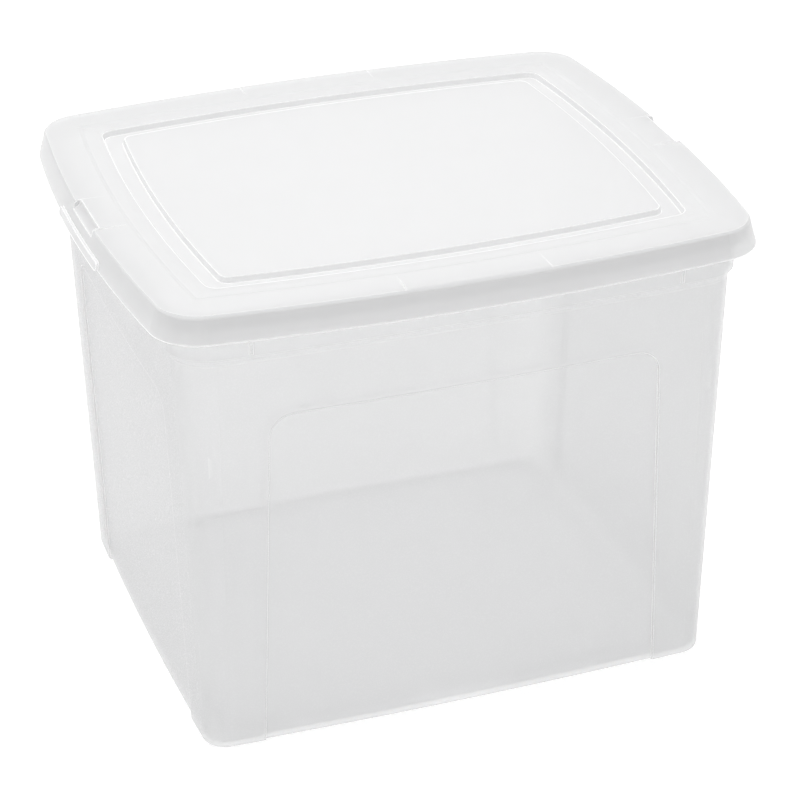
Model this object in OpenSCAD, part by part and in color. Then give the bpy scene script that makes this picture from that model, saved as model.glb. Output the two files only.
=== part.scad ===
// Portable file box: a drafted, bowed tub moulded in clear plastic and a lift-off lid with a
// sunk panel. Millimetres, +Z up, the origin on the floor under the middle of the box.
// Every outline is eight arcs: two long sides, two short sides and four corners, all tangent.
// A moulding is one wall section turned round each arc about that arc's own centre.

/* [Overall size] */
// Length over the lid's skirt, at the middle of the short sides, along X
lid_l = 356.4; // [300:0.1:420]
// Width over the lid's skirt, at the middle of the long sides, along Y
lid_w = 309.8; // [260:0.1:370]
// Height from the floor to the crest of the lid's border
box_h = 278; // [230:1:330]
// Wall thickness of both mouldings
wall = 2; // [1.6:0.1:2.6]

/* [Lid edge] */
// Radius of the lid's bowed long sides
lid_long_r = 1322; // [1000:1:2400]
// Radius of the lid's bowed short sides
lid_short_r = 1011; // [800:1:2000]
// Corner radius of the lid's top edge
lid_corner_r = 24; // [18:0.5:32]
// Height of the skirt below the top edge
skirt_h = 15.4; // [12:0.1:20]
// How far the skirt flares outward over its height
skirt_flare = 4.3; // [2:0.1:5]
// How far the lid's top edge stands out past the tub's walls, all round
overhang = 13.2; // [11.5:0.1:16]
// Radius on the lid's top edge
top_edge_r = 2.6; // [2.2:0.1:4]

/* [Lid top] */
// Width of the border, from the top edge to its crest
border_w = 19.5; // [14:0.5:24]
// Fall of the border from its crest out to the top edge
border_drop = 0.4; // [0.2:0.1:0.8]
// Width of the ledge inside the crest, which holds a box stacked on top
ledge_w = 2.5; // [1.5:0.1:4]
// Fall of the ledge
ledge_drop = 0.6; // [0.4:0.1:1]
// Width of the level seat that a stacked box stands on
seat_w = 6; // [4:0.1:10]
// Width of the bevel between the seat and the channel
bevel_w = 3.7; // [2:0.1:5]
// Fall of the bevel
bevel_drop = 0.3; // [0.2:0.1:0.6]
// Width of the channel round the panel, at its mouth
channel_w = 11.8; // [9:0.1:16]
// Depth of the channel below the panel
channel_deep = 3.2; // [2:0.1:5]
// Side slope of the channel's walls, over their depth
channel_draft = 1.2; // [0.8:0.1:2]
// Corner radius of the channel's outer edge
channel_corner_r = 8; // [6:0.5:12]
// Corner radius of the panel
panel_corner_r = 6; // [5:0.5:10]
// Depth of the panel below the border's crest
panel_drop = 1; // [0.6:0.1:2]
// Length of the flat in the middle of each long border, where it doesn't fall to the edge
long_flat = 81; // [50:1:110]
// Length of the flat in the middle of each short border
short_flat = 42; // [30:1:60]
// Rise of the flats along the top edge above the crest
flat_rise = 0.05; // [0.04:0.01:0.2]

/* [Lid grips] */
// Length of the thumb dent in each short edge
dent_l = 40; // [30:1:60]
// Radius of the thumb dent
dent_r = 5.2; // [4:0.1:6]
// Length of the pull lip under each thumb dent
lip_l = 82; // [60:1:110]
// Height of the pull lip
lip_h = 4.7; // [3.5:0.1:6]
// How far the pull lip stands out of the skirt
lip_out = 1.6; // [1:0.1:2.5]
// Length of each snap bead inside the skirt
bead_l = 46; // [30:1:70]
// Height of each snap bead
bead_h = 4; // [3:0.2:4]
// Height of the snap beads' crest above the skirt's lower edge
bead_up = 2; // [1.6:0.1:2.2]
// How far a snap bead stands into the skirt
bead_in = 1.5; // [0.8:0.1:1.6]
// Place of the snap beads, either side of the middle
bead_at = 92; // [60:1:110]

/* [Tub] */
// Radius of the tub's bowed long sides
tub_long_r = 3108; // [2400:10:6000]
// Radius of the tub's bowed short sides
tub_short_r = 2820; // [2200:10:6000]
// Corner radius of the tub under its neck
tub_corner_r = 21; // [19.5:0.5:26]
// Inward lean of the walls from the neck to the floor
draft = 7.6; // [5:0.1:8.2]
// Depth of the neck's step below the crest of the lid's border
neck_drop = 35; // [32:1:60]
// Height of the neck's step itself
neck_step_h = 5.5; // [4:0.1:8]
// How far the neck steps out
neck_out = 3; // [2:0.1:3.4]
// Outer radius along the foot
foot_r = 3; // [2:0.1:4]

/* [Wall panels] */
// Depth of the sunk panel in each wall
recess = 1.8; // [1.2:0.1:1.8]
// Height of the plain band between the panels and the neck
plain_band = 34; // [20:1:80]
// Corner radius of the panels
recess_r = 14; // [8:1:24]
// Plain wall left beside a long wall's panel at the floor, measured from the neck's end
long_side_foot = 42.7; // [38:0.1:65]
// Plain wall left beside a long wall's panel at the panel's upper edge
long_side_head = 49.2; // [40:0.1:70]
// Plain wall left beside a short wall's panel at the floor
short_side_foot = 43.9; // [38:0.1:60]
// Plain wall left beside a short wall's panel at the panel's upper edge
short_side_head = 45.4; // [40:0.1:60]

/* [Floor] */
// Width of the foot ring that the box stands on
foot_ring = 14; // [11:0.5:18]
// Rise of the floor inside the foot ring
floor_rise = 2.5; // [1.5:0.1:4]
// Corner radius of the raised floor
floor_corner_r = 10; // [7:0.5:16]

/* [Rim] */
// Clearance between the lid and the rim that it rests on
seat_gap = 0.3; // [0.2:0.05:0.5]
// Clearance of the rim's edge inside the lid's top edge
rim_in = 2.1; // [2:0.1:2.6]
// Height of the rim's turned-down edge
rim_lip_h = 7; // [5:0.1:8]
// Distance from the tub's end to the small ribs under the long sides' rim
rib_end = 39.2; // [30:0.1:70]
// Thickness of the small ribs
rib_t = 1.6; // [1.2:0.1:2]
// How far the small ribs stand out of the neck
rib_out = 1.5; // [1:0.1:2]

/* [File rails] */
// Distance of each hanging rail's outer face inside the tub's outline under the neck
rail_in = 8; // [6:0.1:20]
// Distance from the tub's sides to the ends of each rail
rail_end = 32.4; // [28:0.1:60]
// Thickness of a rail
rail_t = 1.8; // [1.4:0.1:2.4]
// Height of a rail above its shelf
rail_h = 5; // [3:0.5:8]
// Distance between the brackets under a shelf
bracket_gap = 70; // [50:1:90]
// Height of the brackets
bracket_h = 15; // [10:1:25]

/* [Hidden] */
$fn = 96;
big_fn = 720;
side_deep = 45;
clear_plastic = [0.93, 0.95, 0.97, 0.45];
lid_plastic = [0.96, 0.97, 0.98, 0.55];
eps = 0.01;
past = 1;

// The lid's top edge and the tub's outline under its neck, as
// [half length, half width, short side radius, long side radius, corner radius]
top_line = [lid_l / 2 - skirt_flare, lid_w / 2 - skirt_flare, lid_short_r, lid_long_r, lid_corner_r];
neck_line = [
    top_line[0] - overhang,
    top_line[1] - overhang,
    tub_short_r,
    tub_long_r,
    tub_corner_r
];

skirt_z = box_h - skirt_h;
neck_z = box_h - neck_drop;
recess_top = neck_z - plain_band;
panel_z = box_h - panel_drop;
channel_in = border_w + ledge_w + seat_w + bevel_w;
panel_in = channel_in + channel_w;
channel_z = panel_z - channel_deep;
border_slope = border_drop / border_w;
rim_z = box_h - wall - border_slope * (border_w - rim_in) - seat_gap;
skirt_slope = skirt_flare / skirt_h;
floor_top = floor_rise + wall;
shelf_z = neck_z + neck_step_h;
rail_half = neck_line[1] - rail_end;
rib_at = neck_line[0] - rib_end;
raised_line = cornered(inset(neck_line, draft + foot_ring), floor_corner_r);
recess_far = 20;

// The mitres run from the top edge's sharp corners to the channel's, and on past both
mitre_a = sharp_corner(top_line);
mitre_b = sharp_corner(inset(top_line, channel_in));
mitre_out = mitre_a + (mitre_a - mitre_b);
mitre_in = mitre_b - (mitre_a - mitre_b) * 0.4;

// ---- outlines ----

// The outline moved inward by d
function inset(o, d) = [o[0] - d, o[1] - d, o[2] - d, o[3] - d, o[4] - d];

// The outline with another corner radius
function cornered(o, r) = [o[0], o[1], o[2], o[3], r];

// Centre of the corner arc, where it is tangent to both side arcs
function corner_centre(o) =
    let (
        short_c = o[0] - o[2],
        long_c = o[1] - o[3],
        p = o[2] - o[4],
        q = o[3] - o[4],
        gap = norm([short_c, long_c]),
        along = [-short_c, long_c] / gap,
        a = (p * p - q * q + gap * gap) / (2 * gap),
        h = sqrt(p * p - a * a)
    )
    [short_c, 0] + a * along + h * [-along[1], along[0]];

// Points along an arc, from angle a0 to a1
function arc_points(c, r, a0, a1, n) =
    [for (i = [0:n]) let (a = a0 + (a1 - a0) * i / n) c + r * [cos(a), sin(a)]];

// Where the side arcs would cross if the corner weren't rounded
function sharp_corner(o) = corner_centre(cornered(o, 0));

// ---- turned forms: the child is a section, X measured outward from the outline ----

// $deep is how far in from the outline a section reaches to fill its form solid.

// Thousandths are moved first and the rest after, so the corner stays truly tangent
module at_corner(o) {
    c = corner_centre(o);
    near = [floor(c[0] * 1000), floor(c[1] * 1000)] / 1000;
    translate([near[0], near[1], 0])
        translate([c[0] - near[0], c[1] - near[1], 0])
            children();
}

module four_ways() {
    for (sx = [0, 1], sy = [0, 1])
        mirror([sx, 0, 0])
            mirror([0, sy, 0])
                children();
}

// Everything outside the two side arcs' ends at one corner
module corner_wedge(o) {
    c = corner_centre(o);
    short_way = c - [o[0] - o[2], 0];
    long_way = c - [0, o[1] - o[3]];
    reach = o[4] + side_deep;
    at_corner(o)
        translate([0, 0, -box_h / 4])
            linear_extrude(box_h * 3 / 2)
                polygon([
                    [0, 0],
                    reach * short_way / norm(short_way),
                    [reach, reach] * 1.2,
                    reach * long_way / norm(long_way)
                ]);
}

// A solid bounded by the four side arcs, with sharp corners
module crossed_sides(o) {
    for_short = [o[0] - o[2], 0, 0];
    for_long = [0, o[1] - o[3], 0];
    intersection_for (s = [0, 1])
        intersection() {
            mirror([s, 0, 0])
                translate(for_short)
                    rotate_extrude($fn = big_fn) {
                        $deep = o[2] - past;
                        translate([o[2], 0]) children();
                    }
            mirror([0, s, 0])
                translate(for_long)
                    rotate_extrude($fn = big_fn) {
                        $deep = o[3] - past;
                        translate([o[3], 0]) children();
                    }
        }
}

// A solid with the section's outer edge all round the outline
module form(o) {
    difference() {
        crossed_sides(o) children();
        four_ways() corner_wedge(o);
    }
    four_ways()
        intersection() {
            corner_wedge(o);
            at_corner(o)
                rotate_extrude()
                    intersection() {
                        $deep = o[4] + past;
                        translate([o[4], 0]) children();
                        translate([0, -box_h]) square([o[4] + side_deep, 3 * box_h]);
                    }
        }
}

// A form with sloping sides: u0 and u1 are its reach beyond the outline at z0 and z1
module block(o, z0, u0, z1, u1) {
    form(o) polygon([[-$deep, z0], [u0, z0], [u1, z1], [-$deep, z1]]);
}

// A section turned about one side's own centre, half an angle each way from the middle
module short_side(o, half) {
    translate([o[0] - o[2], 0, 0])
        rotate([0, 0, -half])
            rotate_extrude(angle = 2 * half, $fn = big_fn)
                translate([o[2], 0])
                    children();
}

module long_side(o, half) {
    translate([0, o[1] - o[3], 0])
        rotate([0, 0, 90 - half])
            rotate_extrude(angle = 2 * half, $fn = big_fn)
                translate([o[3], 0])
                    children();
}

module short_sides(o, half) {
    short_side(o, half) children();
    mirror([1, 0, 0]) short_side(o, half) children();
}

module long_sides(o, half) {
    long_side(o, half) children();
    mirror([0, 1, 0]) long_side(o, half) children();
}

// ---- lid ----

// Outer face of the skirt, z measured up from the floor
function skirt_u(z) = skirt_slope * (box_h - z);

// Body of the lid before its channel is cut: the skirt and the rounded top edge, moved in by t
module lid_block(t) {
    low = skirt_z - (t > 0 ? past : 0);
    r = max(top_edge_r - t, wall / 4);
    edge_z = box_h - t - r;
    edge_u = skirt_u(edge_z) - t;
    form(top_line)
        polygon(concat(
            [[-$deep, low], [skirt_u(low) - t, low]],
            arc_points([edge_u - r, edge_z], r, 0, 90, 6),
            [[-$deep, box_h - t]]
        ));
}

// Section of the border, ledge, seat and bevel, with its underside at low, moved down by t
module border_section(t, low) {
    crest = box_h - t;
    seat = crest - ledge_drop;
    u_in = -channel_in - channel_w / 2;
    u_out = lid_corner_r / 2;
    polygon([
        [u_in, low],
        [u_out, low],
        [u_out, crest - border_slope * (border_w + u_out)],
        [-border_w, crest],
        [-border_w - ledge_w, seat],
        [-border_w - ledge_w - seat_w, seat],
        [-channel_in, seat - bevel_drop],
        [u_in, seat - bevel_drop]
    ]);
}

// Plan of one border's share, between the mitres at its two corners
module long_share() {
    polygon([
        [-mitre_out[0], mitre_out[1]],
        [-mitre_in[0], mitre_in[1]],
        [mitre_in[0], mitre_in[1]],
        [mitre_out[0], mitre_out[1]],
        [mitre_out[0], lid_w],
        [-mitre_out[0], lid_w]
    ]);
}

module short_share() {
    polygon([
        [mitre_out[0], mitre_out[1]],
        [mitre_in[0], mitre_in[1]],
        [mitre_in[0], -mitre_in[1]],
        [mitre_out[0], -mitre_out[1]],
        [lid_l, -mitre_out[1]],
        [lid_l, mitre_out[1]]
    ]);
}

// Four borders that meet in a mitre at each corner
module borders(t) {
    low = skirt_z - 2 * past;
    long_half = asin((top_line[0] + lid_corner_r) / lid_long_r);
    short_half = asin((top_line[1] + lid_corner_r) / lid_short_r);
    for (s = [0, 1]) {
        mirror([0, s, 0])
            intersection() {
                long_side(top_line, long_half) border_section(t, low);
                translate([0, 0, low - past]) linear_extrude(box_h) long_share();
            }
        mirror([s, 0, 0])
            intersection() {
                short_side(top_line, short_half) border_section(t, low);
                translate([0, 0, low - past]) linear_extrude(box_h) short_share();
            }
    }
}

// Section of a flat, whose top edge keeps its full round and runs level into the crest
module flat_section() {
    r = top_edge_r;
    edge_z = box_h - r;
    edge_u = skirt_u(edge_z);
    polygon(concat(
        [[-border_w, edge_z - r], [edge_u - r, edge_z - r]],
        arc_points([edge_u - r, edge_z + flat_rise], r, 0, 90, 6),
        [[-border_w, box_h - flat_rise / 2]]
    ));
}

// The flats in the middle of each border
module flats() {
    long_sides(top_line, asin(long_flat / 2 / lid_long_r)) flat_section();
    short_sides(top_line, asin(short_flat / 2 / lid_short_r)) flat_section();
}

module channel(t) {
    outer = cornered(inset(top_line, channel_in - t), channel_corner_r + t);
    inner = cornered(inset(top_line, panel_in + t), panel_corner_r - t);
    low = channel_z - t;
    difference() {
        block(outer, low, -channel_draft, box_h + past, channel_draft / 4);
        block(inner, low - past, channel_draft, panel_z - t, 0);
    }
}

module dents(t) {
    for (s = [-1, 1])
        translate([s * (top_line[0] + dent_r * 0.3), 0, box_h + dent_r * 0.12])
            rotate([90, 0, 0])
                cylinder(h = dent_l + 2 * t, r = dent_r + t, center = true);
}

module lid_form(t) {
    middle = cornered(inset(top_line, channel_in + channel_w / 4), channel_corner_r);
    difference() {
        union() {
            intersection() {
                lid_block(t);
                borders(t);
            }
            if (t == 0) flats();
            block(middle, skirt_z - (t > 0 ? past : 0), 0, panel_z - t, 0);
        }
        channel(t);
        dents(t);
    }
}

// Lips along the skirt's lower edge, with round ends
module pull_lips() {
    r = lip_h / 2;
    z = skirt_z + r;
    intersection() {
        short_sides(top_line, asin(lip_l / lid_short_r))
            polygon([
                [skirt_u(skirt_z) - wall / 2, skirt_z],
                [skirt_u(skirt_z) + lip_out, skirt_z],
                [skirt_u(skirt_z + lip_h) + lip_out, skirt_z + lip_h],
                [skirt_u(skirt_z + lip_h) - wall / 2, skirt_z + lip_h]
            ]);
        union() {
            for (s = [-1, 1])
                translate([0, s * (lip_l / 2 - r), z])
                    rotate([0, 90, 0])
                        cylinder(h = lid_l * 2, r = r, center = true);
            translate([0, 0, z])
                cube([lid_l * 2, lip_l - lip_h, lip_h], center = true);
        }
    }
}

// Beads inside the skirt that snap under the rim's turned-down edge
module snap_beads() {
    z = skirt_z + bead_up;
    u = skirt_u(z) - wall;
    intersection() {
        long_sides(top_line, asin((bead_at + bead_l) / lid_long_r))
            polygon([
                [u + wall / 2, z - bead_h / 4],
                [u - bead_in / 2, z - bead_h / 4],
                [u - bead_in, z],
                [u - bead_in, z + bead_h / 4],
                [u + wall / 2, z + bead_h * 3 / 4]
            ]);
        for (s = [-1, 1])
            translate([s * bead_at - bead_l / 2, -lid_w, skirt_z - past])
                cube([bead_l, lid_w * 2, skirt_h]);
    }
}

module lid() {
    color(lid_plastic)
        union() {
            difference() {
                lid_form(0);
                lid_form(wall);
            }
            pull_lips();
            snap_beads();
        }
}

// ---- tub ----

// Outer face of the wall below the neck
function wall_u(z) = -draft * (1 - z / neck_z);

// Round inside corner between the floor and a wall whose inner face is set in by d
function inner_foot(d) =
    arc_points([wall_u(foot_r * 2) - d - foot_r, wall + foot_r], foot_r, 0, -90, 5);

// Round outside corner along the foot of a wall whose outer face is set in by d
function outer_foot(d) =
    arc_points([wall_u(foot_r) - d - foot_r, foot_r], foot_r, -90, 0, 5);

// The tub's outside, from the floor to the rim
module outer_section() {
    polygon(concat(
        [[-$deep, 0]],
        outer_foot(0),
        [
            [0, neck_z],
            [neck_out * 0.15, neck_z + neck_step_h * 0.3],
            [neck_out * 0.85, neck_z + neck_step_h * 0.8],
            [neck_out, shelf_z],
            [neck_out, rim_z],
            [-$deep, rim_z]
        ]
    ));
}

// The tub's inside, open at the top
module inner_section() {
    corner = inner_foot(wall);
    polygon(concat(
        [[-$deep, wall]],
        [for (i = [len(corner) - 1:-1:0]) corner[i]],
        [
            [-wall, neck_z + neck_step_h * 0.2],
            [neck_out * 0.15 - wall, neck_z + neck_step_h * 0.5],
            [neck_out * 0.85 - wall, neck_z + neck_step_h],
            [neck_out - wall, shelf_z + wall / 2],
            [neck_out - wall, rim_z + past],
            [-$deep, rim_z + past]
        ]
    ));
}

// Section of the pad behind a sunk panel
module pad_section() {
    head = recess_top + 2 * wall;
    polygon(concat(
        [
            [wall_u(wall / 2) - wall - foot_r, wall / 2],
            [wall_u(wall) - wall / 2, wall],
            [wall_u(head) - wall / 2, head],
            [wall_u(head) - wall - recess, head],
            [wall_u(foot_r * 2) - wall - recess, foot_r * 2]
        ],
        inner_foot(wall + recess),
        [[wall_u(0) - wall - recess - foot_r, wall / 2]]
    ));
}

// Section of the cut that sinks a panel
module sink_section() {
    head = recess_top + 2 * wall;
    polygon(concat(
        [[recess_far, -past], [wall_u(0) - recess - foot_r, -past]],
        outer_foot(recess),
        [[wall_u(head) - recess, head], [recess_far, head]]
    ));
}

// A panel's outline seen from outside, grown by g, with round upper corners: foot and head
// are its half widths at the floor and at its upper edge
module panel_shape(foot, head, g) {
    side_z = recess_top - recess_r;
    side = foot + (head - foot) * side_z / recess_top;
    centre = side - recess_r;
    polygon([
        [-foot - g, -2 * past],
        [foot + g, -2 * past],
        [side + g, side_z],
        [-side - g, side_z]
    ]);
    translate([-centre, side_z - eps])
        square([2 * centre, recess_r + g + eps]);
    for (s = [-1, 1])
        translate([s * centre, side_z])
            circle(r = recess_r + g);
}

module long_panels(g) {
    rotate([90, 0, 0])
        linear_extrude(lid_w * 2, center = true)
            panel_shape(neck_line[0] - long_side_foot, neck_line[0] - long_side_head, g);
}

module short_panels(g) {
    rotate([90, 0, 90])
        linear_extrude(lid_l * 2, center = true)
            panel_shape(neck_line[1] - short_side_foot, neck_line[1] - short_side_head, g);
}

module shell() {
    difference() {
        union() {
            form(neck_line) outer_section();
            rim();
        }
        form(neck_line) inner_section();
        dents(wall + seat_gap);
    }
}

module walls() {
    long_half = asin(2 * (neck_line[0] - long_side_foot) / tub_long_r);
    short_half = asin(2 * (neck_line[1] - short_side_foot) / tub_short_r);
    difference() {
        union() {
            shell();
            intersection() {
                long_sides(neck_line, long_half) pad_section();
                long_panels(wall);
            }
            intersection() {
                short_sides(neck_line, short_half) pad_section();
                short_panels(wall);
            }
        }
        intersection() {
            long_sides(neck_line, long_half) sink_section();
            long_panels(0);
        }
        intersection() {
            short_sides(neck_line, short_half) sink_section();
            short_panels(0);
        }
    }
}

// The floor inside the foot ring, lifted clear of what the box stands on
module lifted_floor() {
    difference() {
        union() {
            children();
            block(raised_line, wall / 2, wall / 2, floor_top, 0);
        }
        block(inset(raised_line, wall), -past, wall / 2, floor_rise, 0);
    }
}

// Outward rim with its turned-down edge, solid across until the tub's inside is cut
module rim() {
    edge_u = -rim_in;
    lip_u = edge_u + skirt_slope * rim_lip_h;
    low = rim_z - rim_lip_h;
    difference() {
        form(top_line)
            polygon([
                [-$deep, low],
                [lip_u, low],
                [edge_u + skirt_slope, rim_z - 1],
                [edge_u - 1, rim_z],
                [-$deep, rim_z]
            ]);
        form(top_line)
            polygon([
                [-$deep, low - past],
                [lip_u - wall + skirt_slope * past, low - past],
                [edge_u - wall, rim_z - wall],
                [-$deep, rim_z - wall]
            ]);
    }
}

// Small upright ribs between the neck and the rim
module rim_ribs() {
    bow = tub_long_r - sqrt(tub_long_r * tub_long_r - rib_at * rib_at);
    face = neck_line[1] + neck_out - bow;
    under = rim_z - wall / 2;
    for (sx = [-1, 1], sy = [0, 1])
        mirror([0, sy, 0])
            translate([sx * rib_at - rib_t / 2, 0, 0])
                rotate([90, 0, 90])
                    linear_extrude(rib_t)
                        polygon([
                            [face - wall / 2, shelf_z],
                            [face + rib_out, shelf_z + rib_out],
                            [face + rib_out, skirt_z],
                            [face + 2 * rib_out, under - rim_lip_h / 2],
                            [face + 2 * rib_out, under],
                            [face - wall / 2, under]
                        ]);
}

// Shelf and upright rail along each short side, for the hooks of hanging folders
module rails() {
    end = neck_line[0];
    ledge_z = shelf_z - wall / 4;
    intersection() {
        short_sides(neck_line, asin(2 * rail_half / tub_short_r))
            polygon([
                [neck_out - wall / 2, ledge_z],
                [neck_out - wall / 2, ledge_z + wall],
                [-rail_in, ledge_z + wall],
                [-rail_in, ledge_z + wall + rail_h],
                [-rail_in - rail_t, ledge_z + wall + rail_h],
                [-rail_in - rail_t, ledge_z]
            ]);
        translate([-lid_l, -rail_half, 0])
            cube([lid_l * 2, rail_half * 2, box_h]);
    }
    for (sx = [0, 1], n = [-1:1])
        mirror([sx, 0, 0])
            translate([0, n * bracket_gap + wall / 2, 0])
                rotate([90, 0, 0])
                    linear_extrude(wall)
                        polygon([
                            [end - rail_in, ledge_z + wall / 2],
                            [end - rail_in, ledge_z - wall],
                            [end - wall * 0.75, ledge_z - bracket_h],
                            [end - wall * 0.75, ledge_z + wall / 2]
                        ]);
}

module tub() {
    color(clear_plastic)
        union() {
            lifted_floor() walls();
            rim_ribs();
            rails();
        }
}

tub();
lid();
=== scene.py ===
# Portable file box in frosted clear plastic, on white paper under soft light.
import bpy
import math
from mathutils import Matrix, Vector

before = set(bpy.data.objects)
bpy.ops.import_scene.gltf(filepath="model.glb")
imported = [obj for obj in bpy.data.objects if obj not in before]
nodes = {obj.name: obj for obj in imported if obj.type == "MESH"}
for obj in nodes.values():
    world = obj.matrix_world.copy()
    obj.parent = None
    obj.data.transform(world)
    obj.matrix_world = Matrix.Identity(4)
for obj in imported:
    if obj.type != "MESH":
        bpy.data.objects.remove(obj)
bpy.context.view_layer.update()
scene = bpy.context.scene
print("frame loaded:", sorted(nodes))


def nodeOf(tree, kind, x, y, **sockets):
    node = tree.nodes.new(kind)
    node.location = (x, y)
    for name, value in sockets.items():
        node.inputs[name.replace("_", " ")].default_value = value
    return node


def mathOf(tree, operation, x, y):
    node = nodeOf(tree, "ShaderNodeMath", x, y)
    node.operation = operation
    return node


def rangeOf(tree, x, y, low, high, toLow, toHigh):
    sockets = {"From_Min": low, "From_Max": high, "To_Min": toLow, "To_Max": toHigh}
    return nodeOf(tree, "ShaderNodeMapRange", x, y, **sockets)


def join(tree, source, outName, target, inName):
    tree.links.new(source.outputs[outName], target.inputs[inName])


# what both mouldings share
moulding = {
    "grainScale": 1300,
    "grainDetail": 3,
    "grainGloss": 0.04,  # how far the gloss strays
    "grainStrength": 0.02,
    "grainRelief": 0.00005,
    "cloudScale": 9,
    "cloudDetail": 3,
    "cloudStray": 0.05,
    "slantBlend": 0.3,
    "edgeStart": 0.995,  # an edge starts where the softened normal strays this far
    "edgeFull": 0.85,
    "edgeSamples": 8,
}

tubPlastic = {
    "tint": (0.84, 0.841, 0.845, 1),
    # painted highlight: the colour edges are painted towards, also the colour of their painted glow
    "paintedHighlightTint": (0.97, 0.97, 0.97, 1),
    "haze": 0.32,
    "slantHaze": 0.8,  # haze of a wall seen edge on, where the view goes through more of it
    "edgeHaze": 0.7,
    "paintedEdgeGlow": 0.06,  # painted glow along the edges, a painted highlight
    "glow": 0.5,
    "rough": 0.27,
    "edge": 0.0012,
}

lidPlastic = {
    "tint": (0.845, 0.846, 0.849, 1),
    # painted highlight: the colour edges are painted towards, also the colour of their painted glow
    "paintedHighlightTint": (1, 1, 1, 1),
    "haze": 0.56,
    "slantHaze": 0.95,
    "edgeHaze": 0.97,
    # strength of the painted glow along the edges
    "paintedEdgeGlow": 0.14,
    "glow": 0.3,
    "rough": 0.22,
    "edge": 0.0017,
    "channelHalf": (0.155, 0.132),  # the channel lies inside this, half length and half width
    # how strongly the channel's steep walls are painted light
    "channelPaintedLight": 0.35,
    "channelLevel": 0.85,
    "channelSteep": 0.5,
}


# the channel's steep walls get the edges' painted highlight too, painted light that lifts the shade in the
# channel
def channelWalls(tree, coord, shape, onEdge, look):
    halfLength, halfWidth = look["channelHalf"]
    offCentre = nodeOf(tree, "ShaderNodeVectorMath", -950, -900)
    offCentre.operation = "ABSOLUTE"
    tree.links.new(coord.outputs["Object"], offCentre.inputs[0])
    place = nodeOf(tree, "ShaderNodeSeparateXYZ", -780, -900)
    join(tree, offCentre, "Vector", place, "Vector")
    alongX = mathOf(tree, "MULTIPLY", -600, -900)
    alongX.inputs[1].default_value = halfWidth / halfLength
    tree.links.new(place.outputs["X"], alongX.inputs[0])
    farther = mathOf(tree, "MAXIMUM", -430, -900)
    tree.links.new(alongX.outputs["Value"], farther.inputs[0])
    tree.links.new(place.outputs["Y"], farther.inputs[1])
    within = mathOf(tree, "LESS_THAN", -260, -900)
    within.inputs[1].default_value = halfWidth
    tree.links.new(farther.outputs["Value"], within.inputs[0])

    facing = nodeOf(tree, "ShaderNodeSeparateXYZ", -780, -1150)
    join(tree, shape, "True Normal", facing, "Vector")
    upright = mathOf(tree, "ABSOLUTE", -600, -1150)
    tree.links.new(facing.outputs["Z"], upright.inputs[0])
    # painted light on the channel's steep walls, strongest on the steepest
    steep = rangeOf(tree, -430, -1150, look["channelLevel"], look["channelSteep"], 0, look["channelPaintedLight"])
    join(tree, upright, "Value", steep, "Value")

    both = mathOf(tree, "MULTIPLY", -90, -1000)
    tree.links.new(within.outputs["Value"], both.inputs[0])
    tree.links.new(steep.outputs["Result"], both.inputs[1])
    either = mathOf(tree, "MAXIMUM", 80, -1000)
    tree.links.new(onEdge.outputs["Result"], either.inputs[0])
    tree.links.new(both.outputs["Value"], either.inputs[1])
    return either


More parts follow.
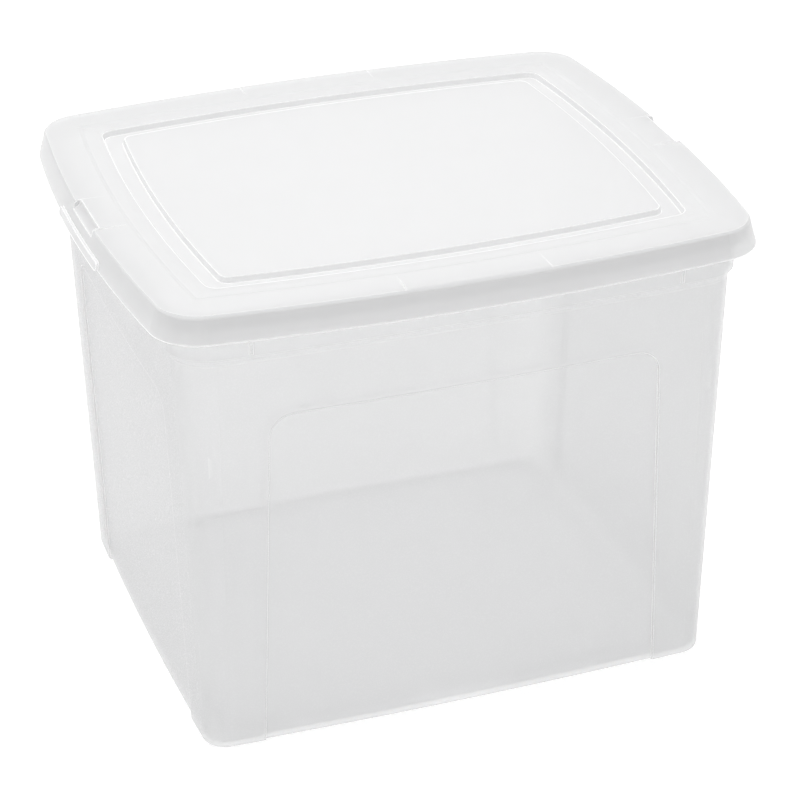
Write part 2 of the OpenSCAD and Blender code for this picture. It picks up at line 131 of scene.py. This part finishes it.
def mouldedPlastic(name, look):
    mat = bpy.data.materials.new(name)
    mat.use_nodes = True
    tree = mat.node_tree
    shader = tree.nodes["Principled BSDF"]
    shader.location = (0, 0)
    # the painted glow on edges takes the painted highlight colour
    shader.inputs["Emission Color"].default_value = look["paintedHighlightTint"]
    coord = nodeOf(tree, "ShaderNodeTexCoord", -1200, 0)

    # fine grain of the mould, in the gloss and as a faint bump
    grain = nodeOf(tree, "ShaderNodeTexNoise", -950, -100,
                   Scale=moulding["grainScale"], Detail=moulding["grainDetail"])
    join(tree, coord, "Object", grain, "Vector")
    stray = moulding["grainGloss"]
    spread = rangeOf(tree, -700, -50, 0, 1, look["rough"] - stray, look["rough"] + stray)
    join(tree, grain, "Fac", spread, "Value")
    join(tree, spread, "Result", shader, "Roughness")
    bump = nodeOf(tree, "ShaderNodeBump", -420, -300,
                  Strength=moulding["grainStrength"], Distance=moulding["grainRelief"])
    join(tree, grain, "Fac", bump, "Height")
    join(tree, bump, "Normal", shader, "Normal")

    # edges and creases are denser to look through, and are also painted whiter with a faint glow: a
    # painted highlight along them
    softEdge = nodeOf(tree, "ShaderNodeBevel", -950, -500, Radius=look["edge"])
    softEdge.samples = moulding["edgeSamples"]
    shape = nodeOf(tree, "ShaderNodeNewGeometry", -950, -650)
    alike = nodeOf(tree, "ShaderNodeVectorMath", -700, -650)
    alike.operation = "DOT_PRODUCT"
    tree.links.new(shape.outputs["True Normal"], alike.inputs[0])
    tree.links.new(softEdge.outputs["Normal"], alike.inputs[1])
    onEdge = rangeOf(tree, -500, -650, moulding["edgeStart"], moulding["edgeFull"], 0, 1)
    join(tree, alike, "Value", onEdge, "Value")
    if "channelHalf" in look:
        onEdge = channelWalls(tree, coord, shape, onEdge, look)
    # painted glow along edges and creases
    paintedGlow = mathOf(tree, "MULTIPLY", -250, -550)
    paintedGlow.inputs[1].default_value = look["paintedEdgeGlow"]
    tree.links.new(onEdge.outputs[0], paintedGlow.inputs[0])
    join(tree, paintedGlow, "Value", shader, "Emission Strength")
    # painted highlight: the tint turns white on edges and creases
    tintAndPaintedHighlight = nodeOf(tree, "ShaderNodeMix", -250, 100)
    tintAndPaintedHighlight.data_type = "RGBA"
    tintAndPaintedHighlight.inputs["A"].default_value = look["tint"]
    tintAndPaintedHighlight.inputs["B"].default_value = look["paintedHighlightTint"]
    tree.links.new(onEdge.outputs[0], tintAndPaintedHighlight.inputs["Factor"])
    join(tree, tintAndPaintedHighlight, "Result", shader, "Base Color")

    # light that soaks through the wall from its far side
    through = nodeOf(tree, "ShaderNodeBsdfTranslucent", 0, -700)
    join(tree, tintAndPaintedHighlight, "Result", through, "Color")
    join(tree, bump, "Normal", through, "Normal")
    body = nodeOf(tree, "ShaderNodeMixShader", 320, -100)
    body.inputs[0].default_value = look["glow"]
    tree.links.new(shader.outputs["BSDF"], body.inputs[1])
    tree.links.new(through.outputs["BSDF"], body.inputs[2])

    # milky haze over a clear wall, a little cloudy where the melt flowed
    cloud = nodeOf(tree, "ShaderNodeTexNoise", -950, 400,
                   Scale=moulding["cloudScale"], Detail=moulding["cloudDetail"])
    join(tree, coord, "Object", cloud, "Vector")
    drift = moulding["cloudStray"]
    milk = rangeOf(tree, -700, 400, 0, 1, look["haze"] - drift, look["haze"] + drift)
    join(tree, cloud, "Fac", milk, "Value")
    slant = nodeOf(tree, "ShaderNodeLayerWeight", -700, 700, Blend=moulding["slantBlend"])
    thick = nodeOf(tree, "ShaderNodeMix", -420, 600)
    thick.inputs["B"].default_value = look["slantHaze"]
    join(tree, slant, "Facing", thick, "Factor")
    join(tree, milk, "Result", thick, "A")
    dense = nodeOf(tree, "ShaderNodeMix", -200, 400)
    dense.inputs["B"].default_value = look["edgeHaze"]
    tree.links.new(onEdge.outputs[0], dense.inputs["Factor"])
    join(tree, thick, "Result", dense, "A")
    clear = nodeOf(tree, "ShaderNodeBsdfTransparent", 320, 200)
    wallMix = nodeOf(tree, "ShaderNodeMixShader", 560, 0)
    tree.links.new(dense.outputs["Result"], wallMix.inputs[0])
    tree.links.new(clear.outputs["BSDF"], wallMix.inputs[1])
    tree.links.new(body.outputs["Shader"], wallMix.inputs[2])
    join(tree, wallMix, "Shader", tree.nodes["Material Output"], "Surface")
    return mat


finishes = {
    "tub": mouldedPlastic("frosted tub", tubPlastic),
    "lid": mouldedPlastic("frosted lid", lidPlastic),
}
for piece, finish in finishes.items():
    mesh = nodes[piece].data
    for slot in range(len(mesh.materials)):
        mesh.materials[slot] = finish
print("plastic on tub and lid")


sweep = {"size": 12, "tone": (0.5, 0.5, 0.5, 1), "rough": 0.8, "lit": 0.63}
bpy.ops.mesh.primitive_plane_add(size=sweep["size"])
floor = bpy.context.object
floor.name = "floor"
paper = bpy.data.materials.new("white paper")
paper.use_nodes = True
sheet = paper.node_tree.nodes["Principled BSDF"]
sheet.inputs["Base Color"].default_value = sweep["tone"]
sheet.inputs["Roughness"].default_value = sweep["rough"]
sheet.inputs["Emission Color"].default_value = (1, 1, 1, 1)
sheet.inputs["Emission Strength"].default_value = sweep["lit"]
floor.data.materials.append(paper)
print("floor laid")


studio = {
    "ceiling": 0.9,
    "walls": 0.5,
    "ceilingFrom": 0.9,  # how steeply up the room is as bright as its ceiling
    "seen": 1.0,  # past the paper's end the view meets the same white
    "topPlace": (-0.35, 0.5, 4),
    "topAim": (0, 0, 0.2),
    "topPower": 77,
    "topSize": 1.8,
}

# a white room whose ceiling is brighter than its walls
world = bpy.data.worlds.new("white room")
scene.world = world
world.use_nodes = True
room = world.node_tree
lookUp = nodeOf(room, "ShaderNodeTexCoord", -800, 0)
height = nodeOf(room, "ShaderNodeSeparateXYZ", -600, 0)
rise = rangeOf(room, -400, 0, 0, studio["ceilingFrom"], studio["walls"], studio["ceiling"])
join(room, lookUp, "Generated", height, "Vector")
join(room, height, "Z", rise, "Value")
backdrop = room.nodes["Background"]
backdrop.inputs["Color"].default_value = (1, 1, 1, 1)
aimed = nodeOf(room, "ShaderNodeLightPath", -400, 300)
seen = nodeOf(room, "ShaderNodeMix", -200, 0)
seen.inputs["B"].default_value = studio["seen"]
join(room, aimed, "Is Camera Ray", seen, "Factor")
join(room, rise, "Result", seen, "A")
join(room, seen, "Result", backdrop, "Strength")

lampData = bpy.data.lights.new("overhead", "AREA")
lampData.shape = "SQUARE"
lampData.size = studio["topSize"]
lampData.energy = studio["topPower"]
lamp = bpy.data.objects.new("overhead", lampData)
scene.collection.objects.link(lamp)
lamp.location = studio["topPlace"]
aim = Vector(studio["topAim"]) - Vector(studio["topPlace"])
lamp.rotation_euler = aim.to_track_quat("-Z", "Y").to_euler()
scene.view_settings.view_transform = "Standard"
print("light set")


shot = {
    "place": (-0.4803, -1.3851, 0.9135),
    "turn": -19.42,
    "tilt": 28.09,
    "roll": -0.49,
    "lens": 127.33,
    "sensor": 36,
}
turn = math.radians(shot["turn"])
tilt = math.radians(shot["tilt"])
roll = math.radians(shot["roll"])
back = Vector((math.sin(turn) * math.cos(tilt), -math.cos(turn) * math.cos(tilt), math.sin(tilt)))
right = Vector((math.cos(turn), math.sin(turn), 0))
up = back.cross(right)
camX = right * math.cos(roll) + up * math.sin(roll)
camY = up * math.cos(roll) - right * math.sin(roll)
camData = bpy.data.cameras.new("camera")
camData.lens = shot["lens"]
camData.sensor_width = shot["sensor"]
cam = bpy.data.objects.new("camera", camData)
scene.collection.objects.link(cam)
spin = Matrix((camX, camY, back)).transposed().to_4x4()
cam.matrix_world = Matrix.Translation(Vector(shot["place"])) @ spin
scene.camera = cam
print("camera set")
